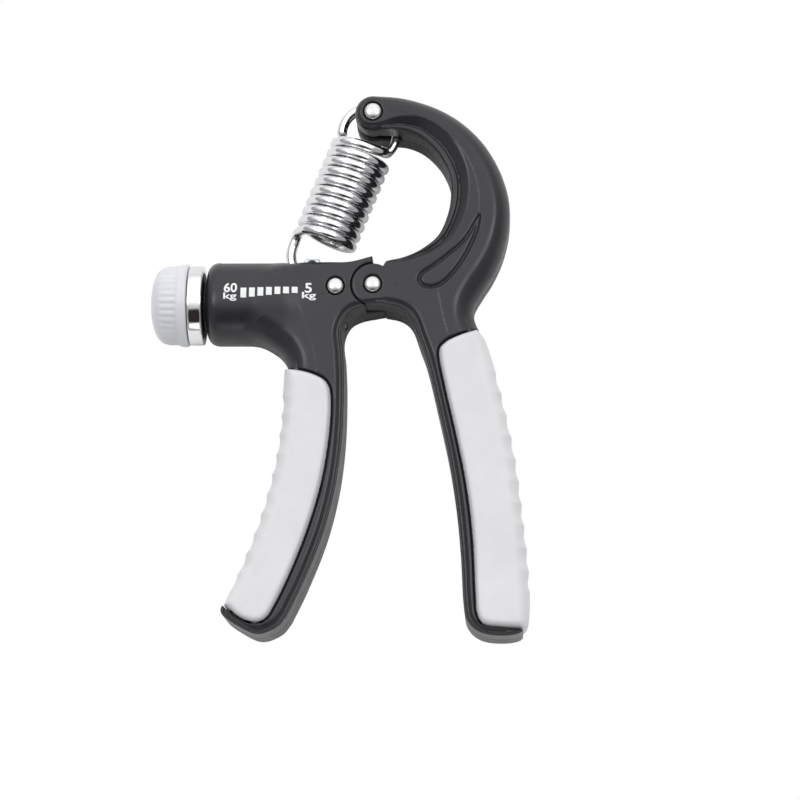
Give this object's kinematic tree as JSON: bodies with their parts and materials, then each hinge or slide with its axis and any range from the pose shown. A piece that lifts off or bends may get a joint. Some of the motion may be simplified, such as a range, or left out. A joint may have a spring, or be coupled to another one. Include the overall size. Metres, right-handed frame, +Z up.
{
  "type": "hand grip strengthener",
  "caption": "Adjustable hand grip strengthener: two handles on a riveted hinge, joined by an extension spring whose anchor is moved by a knob and lead screw.",
  "frame": {"origin": "centre of the bounding box on the surface that the object lies on", "axes": "+Z up through the thickness, +Y from the handles' ends towards the hook, +X from the knob towards the right handle"},
  "size_m": [0.1082, 0.1566, 0.0237],
  "materials": {
    "charcoal_plastic": "satin moulded charcoal plastic",
    "soft_grip": "soft-touch light grey",
    "knob_plastic": "pale translucent plastic",
    "chrome": "bright chrome plate",
    "rivet_steel": "satin nickel plate",
    "zinc_steel": "zinc plate",
    "nylon": "natural nylon"
  },
  "bodies": {
    "hinge_pin": {"hinge_rivet": "rivet_steel", "hinge_washer": "zinc_steel"},
    "left_handle": {"left_frame": "charcoal_plastic", "left_grip": "soft_grip", "end_rivet": "rivet_steel", "end_bearing": "nylon", "barrel_bush": "nylon"},
    "right_handle": {"right_frame": "charcoal_plastic", "right_grip": "soft_grip", "hook_rivet": "rivet_steel", "hook_roller": "zinc_steel"},
    "knob": {"knob_cap": "knob_plastic", "knob_hub": "charcoal_plastic", "knob_screw": "zinc_steel", "chrome_collar": "chrome", "lead_screw": "zinc_steel", "thrust_washer": "charcoal_plastic", "retaining_clip": "zinc_steel"},
    "traveller": {"traveller_nut": "zinc_steel", "traveller_pin": "rivet_steel", "pin_sleeve": "zinc_steel"},
    "spring_upper_end": {"spring_upper": "chrome"},
    "spring_lower_end": {"spring_lower": "chrome"}
  },
  "joints": [
    {"name": "squeeze", "type": "hinge", "parent": "hinge_pin", "child": "right_handle", "pos_m": [0.00962, 0.02177, 0.01185], "axis": [0, 0, -1], "range_deg": [0, 25], "stiffness_Nm_per_rad": 6, "springref_deg": -5.73},
    {"name": "handle_opening", "type": "hinge", "parent": "hinge_pin", "child": "left_handle", "pos_m": [0.00962, 0.02177, 0.01185], "axis": [0, 0, -1], "range_deg": [0, 15.85]},
    {"name": "knob_turn", "type": "hinge", "parent": "left_handle", "child": "knob", "pos_m": [-0.03837, 0.01787, 0.01185], "axis": [-1, 0, 0], "range_deg": [-3330, 0]},
    {"name": "traveller_slide", "type": "slide", "parent": "left_handle", "child": "traveller", "axis": [-1, 0, 0], "range_m": [0, 0.0185]},
    {"name": "spring_swing", "type": "hinge", "parent": "right_handle", "child": "spring_upper_end", "pos_m": [0.00923, 0.07297, 0.01185], "axis": [0, 0, -1], "range_deg": [0, 21.86], "deforming": ["spring_upper"]},
    {"name": "spring_stretch", "type": "slide", "parent": "spring_upper_end", "child": "spring_lower_end", "axis": [-0.1578, -0.9875, 0], "range_m": [0, 0.00824], "deforming": ["spring_lower"]}
  ],
  "couplings": [
    {"joint": "traveller_slide", "follows": "knob_turn", "m_per_rad": -0.00031831},
    {"joint": "handle_opening", "follows": "knob_turn", "ratio": -0.0047598},
    {"joint": "spring_swing", "follows": "knob_turn", "ratio": -0.0065646},
    {"joint": "spring_stretch", "follows": "squeeze", "m_per_rad": 0.018882}
  ]
}
